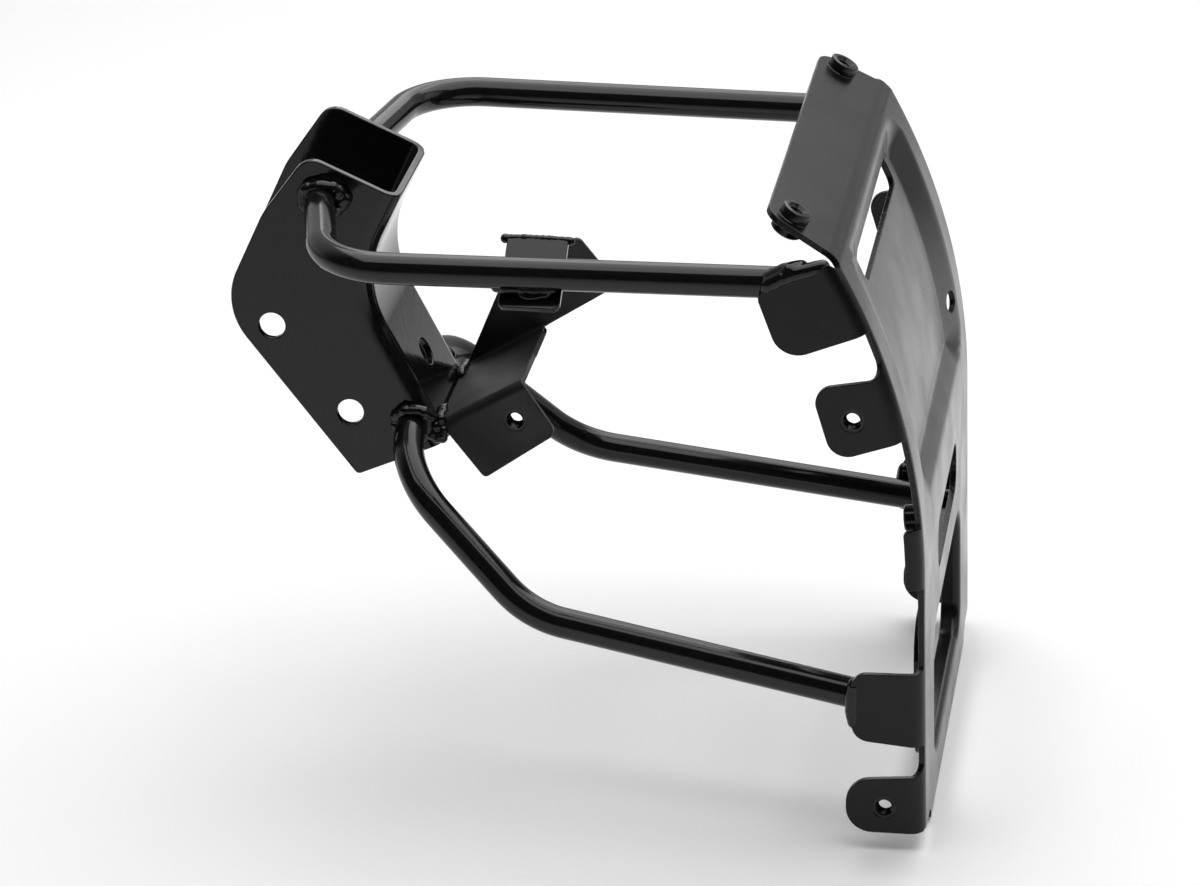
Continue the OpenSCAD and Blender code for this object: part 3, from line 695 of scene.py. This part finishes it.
def front_plate():
    right, left = plate_side(RIGHT), plate_side(LEFT)

    def foot(side):
        return [(side * 78, s_of(PLATE_LOW)), (side * 78, s_of(-169.4)), (side * 79.5, s_of(-168.4)),
                (side * 84, s_of(-166.9)), (side * 97, s_of(-166.6))]

    notch = rounded([(101.8, S_ARC + 1.5, 0), (98.4, S_ARC - 1.2, 1.0), (96.9, S_ARC + 0.6, 1.2),
                     (95.6, S_ARC + BEND_LEN, 0)], 1, closed=False)
    flange = rounded([(-95.6, S_ARC + BEND_LEN, 0), (95.6, S_ARC + BEND_LEN, 0), (91, S_END, 9),
                      (-91, S_END, 9)], 2)
    flange = flange[flange[:, 1] > S_ARC + BEND_LEN + 0.2]
    start = int(np.argmin(np.where(flange[:, 0] > 0, flange[:, 1], 1e9)))
    flange = np.roll(flange, -start, axis=0)
    bottom = dense(foot(RIGHT)[::-1] + foot(LEFT), 2, closed=False)
    mirror = np.array((-1, 1))
    outer = np.concatenate((bottom, left, notch, flange, (notch * mirror)[::-1], right[::-1]))
    holes = [box_outline(*WINDOW, (0, s_at(WINDOW_ANGLE))), box_outline(*SLOT, (0, s_of(SLOT_Z))),
             box_outline(OPEN_W - 2 * LIP_RUN, OPEN_H - 2 * LIP_RUN, OPEN_R - LIP_RUN, (0, S_OPEN))]
    for side in (RIGHT, LEFT):
        for c in FLANGE_HOLES.values():
            s, depth = plate_place(circle(c, NUT_HOLE_R, 36))
            holes.append(np.stack((side * unfold(depth, HALF_PLATE, PLATE_FOLD), s), 1))
        holes.append(circle((side * COLLAR_Y, S_ARC + BEND_LEN + COLLAR_BACK), NUT_HOLE_R, 36))
        holes.append(circle((side * PANEL_HOLE_Y, s_at(PANEL_HOLE_ANGLE)), NUT_HOLE_R, 36))
    fine, coarse = np.arange(96.6, 108.2, 0.75), np.arange(110, 160, 3)
    us = np.concatenate((np.arange(-94, 95, 2.7), fine, -fine, coarse, -coarse))
    ss = np.concatenate((np.arange(s_of(PLATE_LOW) + 1, S_ARC - 3, 2.7), np.arange(S_ARC - 1, S_ARC + 8, 0.7),
                         np.arange(S_ARC + 9, S_END, 2.7)))
    seeds = grid(us, ss)
    far = (np.abs(seeds[:, 0]) > OPEN_W / 2 + 5) | (np.abs(seeds[:, 1] - S_OPEN) > OPEN_H / 2 + 5)
    rings = [box_outline(OPEN_W + 2 * d, OPEN_H + 2 * d, OPEN_R + d, (0, S_OPEN), 1.6)
             for d in (-4.6, -3, -2, -1.2, -0.4, 0.4, 1.2, 2.1, 3.0, 4.0)]
    seeds = np.concatenate([seeds[far]] + rings)
    sheet("front_plate_sheet", plate_point, [outer] + holes, seeds, PLATE_T, plate_paint,
          ["front_plate"], bevel=0.4)


# ---- centre bracket ----

BRACKET_T, BEND_OUT, RISE = 2.5, 4.0, 30.0
BEND_IN = BEND_OUT - BRACKET_T
TAB_HOLE = (95.6, -35.1)
shelf_back = np.array((65.0, -37.5))
along, above = turned(RISE), turned(RISE + 90)
SHELF_LEN, CREASE = 38.0, math.radians(6)


def bracket_point(flat):
    a, u = flat[:, 0], flat[:, 1]
    edge = HALF_SADDLE - BEND_OUT
    down = np.maximum(-u - edge, 0)
    phi = np.minimum(down / BEND_OUT, math.pi / 2)
    up = np.maximum(u - edge, 0)
    psi = np.minimum(up / BEND_IN, math.pi / 2)
    y = np.clip(u, -edge, edge) - BEND_OUT * np.sin(phi) + BEND_IN * np.sin(psi)
    h = BEND_IN * (1 - np.cos(psi)) + np.maximum(up - BEND_IN * math.pi / 2, 0)
    h = h - BEND_OUT * (1 - np.cos(phi)) - np.maximum(down - BEND_OUT * math.pi / 2, 0)
    past = np.clip(a - SHELF_LEN, 0, 1) * (u > 0)     # past the shelf the arm is cut off flat, with no bend
    y = y + (edge + BEND_IN - y) * past
    h = h + (u - edge - BEND_IN * (math.pi / 2 - 1) - h) * past
    arm_part = np.maximum(np.clip((u - edge) / 2, 0, 1), past)
    soft = 1.2                                        # how gently the arm's crease turns, just past the shelf
    bent = soft * np.logaddexp(0, (a - SHELF_LEN) / soft) * arm_part
    y = y + bent * math.sin(CREASE)
    a = a - bent * (1 - math.cos(CREASE))
    xz = shelf_back + a[:, None] * along + h[:, None] * above
    return np.stack((xz[:, 0], y, xz[:, 1]), 1)


def centre_bracket():
    def rel(x, z):
        d = np.array((x, z)) - shelf_back
        return d @ along, d @ above

    edge = HALF_SADDLE - BEND_OUT

    def tab(x, z):
        a, h = rel(x, z)
        return a, -(edge + BEND_OUT * math.pi / 2 + (-h - BEND_OUT))

    def arm(x, z):
        a, h = rel(x, z)
        return a, edge + BEND_IN * math.pi / 2 + (h - BEND_IN)

    outer = rounded([(0, edge, 0), (0, -edge - 1, 0), (*tab(83, -60.5), 2), (*tab(112, -40), 4),
                     (SHELF_LEN, -edge - 1.5, 3.5), (SHELF_LEN, edge + 0.6, 0.6),
                     (*arm(127.5, -0.9), 3), (*arm(111.6, 19.4), 3), (*arm(80.4, -2), 3)], 1.5)
    c = tab(*TAB_HOLE)
    us = np.concatenate((np.arange(-edge + 2, edge - 1, 3), -np.arange(edge, edge + 7, 0.8),
                         np.arange(edge, edge + 4, 0.5), -np.arange(edge + 8, 70, 3),
                         np.arange(edge + 5, 60, 3)))
    aa = np.concatenate((np.arange(1.5, 35, 3), np.arange(35, 42, 0.8), np.arange(44, 75, 3)))
    sheet("centre_bracket_sheet", bracket_point, [outer, circle(c, NUT_HOLE_R, 36)], grid(aa, us), BRACKET_T,
          bracket_paint, ["centre_bracket"], bevel=0.4)


# ---- clip plate ----

CLIP_TILT, CLIP_W = 38.0, 23.0
clip_y, clip_z = turned(CLIP_TILT), turned(CLIP_TILT + 90)
clip_o = np.array((114.5, -98, 54)) - BAR_R * np.array((0, *clip_z))     # just under the right upper bar


def clip_point(flat, h=0.0):
    flat = np.atleast_2d(flat)
    return clip_o + np.stack((flat[:, 0], flat[:, 1] * clip_y[0] + h * clip_z[0],
                              flat[:, 1] * clip_y[1] + h * clip_z[1]), 1)


def clip_plate():
    outer = rounded([(-CLIP_W / 2, -11.4, 2), (CLIP_W / 2, -11.4, 3), (CLIP_W / 2, 19, 0.5),
                     (-CLIP_W / 2, 19, 0.5)], 1.5)
    sheet("clip_sheet", clip_point, [outer], grid(np.arange(-10, 11, 2.5), np.arange(-10, 18, 2.5)),
          2.5, sheet_paint, ["clip_plate"], bevel=0.45)


# ---- bars ----

UPPER_Z = 54.0
UPPER_FOOT = {RIGHT: np.array((20.4, -30, UPPER_Z)), LEFT: np.array((25.4, 30, UPPER_Z))}
LOWER_FOOT = {RIGHT: np.array((54.8, -30, -38.7)), LEFT: np.array((51, 30, -38.5))}
LOWER_TIP = (258, 95.1, -116.6)


def upper_corners(side):
    foot = UPPER_FOOT[side]
    return [(foot[0], side * 28.5, UPPER_Z), (37, side * 100.3, UPPER_Z), (223, side * 95.1, UPPER_Z)]


def lower_corners(side):
    x, y, z = LOWER_TIP
    if side == RIGHT:
        return [(61, -7, -35.9), (45.9, -52.4, -39.3), (109, -82.1, -93.3), (x, -y, z)]
    return [(51, 28.5, -38.5), (51, 58, -38.5), (102, 82, -92.2), (x, y, z)]


def bars():
    for side in (RIGHT, LEFT):
        name = SIDE_NAME[side]
        first_bend = 41 if side == RIGHT else 25
        bar("upper_bar_tube_" + name, upper_corners(side), [30], "upper_bar_" + name)
        bar("lower_bar_tube_" + name, lower_corners(side), [first_bend, 45], "lower_bar_" + name,
            cut_y=-28.5 if side == RIGHT else None)


# ---- collars and nuts ----

EDGE_NUT_Y, EDGE_NUT_Z = 94.0, -38.0


def turned_steps(*steps):
    """plain (radius, height) steps of a turned piece"""
    return [(r, h, False) for r, h in steps]


def collar(side, name):
    flange_p, flange_n = bend_end + turned(FLANGE_A) * COLLAR_BACK, turned(FLANGE_N)
    steps = turned_steps((5.9, 3.6), (5.75, 3.87), (5.5, 4.0), (4.1, 4.0)) + bore(-6.5, 3.4)
    steps += turned_steps((5.4, -6.5), (6.0, -5.9), (6.0, -2.5), (NUT_HOLE_R, -2.5), (NUT_HOLE_R, 0.0),
                          (6.2, 0.0), (5.95, 0.25))
    lathe("collar_ring_" + name, steps, (flange_p[0], side * COLLAR_Y, flange_p[1]),
          (flange_n[0], 0, flange_n[1]), "collar_" + name)


def flange_nuts(side, name):
    for level, (x, z) in FLANGE_HOLES.items():
        steps = turned_steps((NUT_HOLE_R, 2.1), (4.1, 2.1)) + bore(-3.5, 2.1)
        steps += turned_steps((5.5, -3.5), (6.0, -3.0), (6.0, 0), (NUT_HOLE_R, 0))
        lathe(level + "_flange_nut_ring_" + name, steps, (x, side * (HALF_PLATE - PLATE_T), z),
              (0, side, 0), level + "_flange_nut_" + name)


def edge_nut(side, name):
    angle = math.degrees(math.asin((EDGE_NUT_Z - arc_c[1]) / PLATE_R))
    c, n = arc_c + (PLATE_R - PLATE_T) * turned(angle), turned(angle)
    steps = turned_steps((5.0, 0.2), (3.9, 0.2)) + bore(-4.5, 0.0) + turned_steps((4.5, -4.5), (5.0, -4.0))
    lathe("edge_nut_ring_" + name, steps, (c[0], side * EDGE_NUT_Y, c[1]), (n[0], 0, n[1]),
          "edge_nut_" + name)


def tab_nut():
    steps = turned_steps((NUT_HOLE_R, 2.1), (4.1, 2.1)) + bore(-5.0, 2.1)
    steps += turned_steps((5.2, -5.0), (5.7, -4.5), (5.7, 0), (NUT_HOLE_R, 0))
    lathe("tab_nut_ring", steps, (TAB_HOLE[0], -HALF_SADDLE + BRACKET_T, TAB_HOLE[1]), (0, -1, 0), "tab_nut")


def threaded_parts():
    for side in (RIGHT, LEFT):
        name = SIDE_NAME[side]
        collar(side, name)
        flange_nuts(side, name)
        edge_nut(side, name)
    tab_nut()


# ---- welds ----

def ring_path(foot, side, r, tilt=0.0):
    """ring on the saddle's outer face, round the foot of a bar"""
    points = []
    for k in range(24):
        a = 2 * math.pi * k / 24
        out = HALF_SADDLE + 0.6 + tilt * math.cos(a)
        points.append((foot[0] + r * math.cos(a), side * out, foot[2] + r * math.sin(a)))
    return points


def foot_welds():
    for side in (RIGHT, LEFT):
        name = SIDE_NAME[side]
        foot = UPPER_FOOT[side]
        spots = drops(ring_path(foot, side, 6.1), 2.2, 3 + side, closed=True)
        spots += drops([foot + (-4, side * 3, 4.5), foot + (1.5, side * 3.4, 6), foot + (6.5, side * 3, 5.5),
                        foot + (9.5, side * 1.8, 2.5)], 2.7, 11 + side)
        x, y, z = foot + (0, side * 2.5, 0)
        spots += [(x + 10.2, y - side * 1.5, z + 0.5, 3.4), (x + 9.6, y - side, z - 2, 2.6),
                  (x + 7.6, y - side * 1.4, z - 4.6, 2.2)]
        weld("upper_foot_weld_bead_" + name, spots, "upper_foot_weld_" + name)
        foot = LOWER_FOOT[side]
        spots = drops(ring_path(foot, side, 6.3, 0.5), 2.3, 21 + side, closed=True)
        spots += drops([foot + (-6.5, side * 1.4, 3.5), foot + (-2, side * 2.6, 6.6),
                        foot + (3, side * 2.4, 6.8), foot + (7.4, side * 1.2, 4.2)], 2.5, 31 + side)
        weld("lower_foot_weld_bead_" + name, spots, "lower_foot_weld_" + name)


def tab_welds():
    for side in (RIGHT, LEFT):
        name = SIDE_NAME[side]
        y = side * 102.2
        spots = drops([(203.2, y, 55.4), (208, y, 58.2), (213, y - side * 0.3, 60.2),
                       (219, y - side * 0.6, 62), (223, y - side * 1.2, 63)], 2.9, 41 + side,
                      spacing=0.6, wander=0.05, uneven=0.05)
        spots += drops([(203.5, y - side * 2.5, 57), (209, y - side * 2.6, 60), (215, y - side * 2.8, 61.6)],
                       3.2, 45 + side, spacing=0.6, wander=0.05, uneven=0.05)
        spots += [(202.4, y + side * 0.2, 54.2, 2.2), (211, y - side * 1.2, 60.8, 3.3)]
        weld("upper_tab_weld_bead_" + name, spots, "upper_tab_weld_" + name, ease=24)
        y = side * 101.3
        spots = drops([(236.6, y, -105.5), (235.8, y + side * 0.4, -110), (235.8, y + side * 0.4, -116),
                       (236.6, y, -121)], 2.9, 61 + side, spacing=0.8, wander=0.1, uneven=0.1)
        weld("lower_tab_weld_bead_" + name, spots, "lower_tab_weld_" + name, ease=16)


def clip_welds():
    def at(points):
        return [clip_point((x, y), h)[0] for x, y, h in points]

    spots = drops(at([(-12.5, -3.6, 1.2), (-6, -3.9, 0.9), (1, -4.2, 0.8), (8, -3.6, 0.8)]), 2.1, 71)
    spots += drops(at([(-3, -6, 0.4), (2, -6.6, 0.3), (6.5, -5.2, 0.4)]), 1.3, 75)
    spots += drops(at([(-10, 3.6, 0.8), (10, 3.6, 0.8)]), 1.8, 79)
    weld("clip_weld_bead", spots, "clip_weld", voxel=0.36)
    spots = drops(at([(-11.3, 19, -1.2), (-4, 19.3, -1.2), (4, 19.2, -1.2), (11.3, 19, -1.2)]), 1.5, 83,
                  wander=0.12)
    spots += [(*at([(-12.4, 18.8, -1.2)])[0], 1.9), (*at([(12.3, 18.8, -1.2)])[0], 1.6)]
    weld("clip_edge_weld_bead", spots, "clip_edge_bead", voxel=0.36)


def shelf_welds():
    for side in (RIGHT, LEFT):
        spots = drops([(65.4, side * 17, -36.9), (65.6, side * 22, -36.6), (65.8, side * 28, -36.9)],
                      2.2, 91 + side)
        spots += drops([(66.5, side * 27, -38), (67, side * 29.4, -41), (66.6, side * 29.6, -44)],
                       2.1, 95 + side)
        if side == RIGHT:
            spots += [(63.5, -29.2, -39.5, 3.0), (64.5, -30.4, -43.5, 2.6), (62.2, -30.6, -42, 2.8)]
        weld("shelf_weld_bead_" + SIDE_NAME[side], spots, "shelf_weld_" + SIDE_NAME[side])


saddle()
front_plate()
centre_bracket()
clip_plate()
bars()
threaded_parts()
foot_welds()
tab_welds()
clip_welds()
shelf_welds()


# ---- camera, floor and light ----

def long_lens_camera():
    """from the right front, 24 degrees above"""
    camera = bpy.data.objects.new("camera", bpy.data.cameras.new("camera"))
    scene.collection.objects.link(camera)
    camera.data.sensor_width = 36
    camera.data.lens = 138
    camera.data.clip_end = 50
    right_axis = Vector((0.9882408, 0.1524806, -0.0113949))
    down_axis = Vector((0.0506947, -0.3970399, -0.9164002))
    look_axis = Vector((-0.1442575, 0.9050464, -0.4001010))
    turn = Matrix((right_axis, -down_axis, -look_axis)).transposed().to_4x4()
    camera.matrix_world = Matrix.Translation(Vector((387.44, -1651.56, 674.09)) * MM) @ turn
    scene.camera = camera


def pale_floor(reach, gap):
    """square floor reaching this many metres, and gap millimetres under the bracket's lowest point"""
    level = cad_low[2] - gap * MM
    mesh = bpy.data.meshes.new("floor")
    mesh.from_pydata([(-reach, -reach, level), (reach, -reach, level), (reach, reach, level),
                      (-reach, reach, level)], [], [(0, 1, 2, 3)])
    floor = bpy.data.objects.new("floor", mesh)
    scene.collection.objects.link(floor)
    matt = bpy.data.materials.new("pale_floor")
    matt.use_nodes = True
    shader = matt.node_tree.nodes["Principled BSDF"]
    shader.inputs["Base Color"].default_value = (0.9, 0.9, 0.9, 1)
    shader.inputs["Roughness"].default_value = 0.9
    shader.inputs["Specular IOR Level"].default_value = 0.1
    mesh.materials.append(matt)


def soft_box(name, place, aim, size, brightness):
    """square soft light of this radiance"""
    data = bpy.data.lights.new(name, "AREA")
    data.shape = "SQUARE"
    data.size = size
    data.energy = brightness * math.pi * size * size
    light = bpy.data.objects.new(name, data)
    scene.collection.objects.link(light)
    light.location = place
    light.rotation_mode = "QUATERNION"
    light.rotation_quaternion = (Vector(aim) - Vector(place)).to_track_quat("-Z", "Y")
    light.visible_camera = False


def studio_walls():
    """white surroundings, dim on the camera's side and brighter behind the bracket"""
    world = bpy.data.worlds.new("studio")
    scene.world = world
    world.use_nodes = True
    tree = world.node_tree
    coords = tree.nodes.new("ShaderNodeTexCoord")
    split = tree.nodes.new("ShaderNodeSeparateXYZ")
    tree.links.new(coords.outputs["Generated"], split.inputs[0])
    ramp = tree.nodes.new("ShaderNodeMapRange")
    ramp.interpolation_type = "SMOOTHSTEP"
    for i, v in enumerate((-0.2, 0.4, 0.04, 0.55)):
        ramp.inputs[i + 1].default_value = v
    tree.links.new(split.outputs["Y"], ramp.inputs[0])
    tree.links.new(ramp.outputs[0], tree.nodes["Background"].inputs["Strength"])
    tree.nodes["Background"].inputs["Color"].default_value = (1, 1, 1, 1)


long_lens_camera()
pale_floor(reach=12.0, gap=1.75)
soft_box("overhead", (0.2, 0.15, 1.15), (0.2, 0.1, 0), 1.7, 2.3)
soft_box("behind", (0.2, 1.9, 1.5), (0.12, 0.6, -0.17), 1.6, 2.0)
soft_box("right", (1.5, 0.1, 0.75), (0.5, 0.0, -0.17), 0.9, 0.8)
studio_walls()
scene.view_settings.view_transform = "Standard"
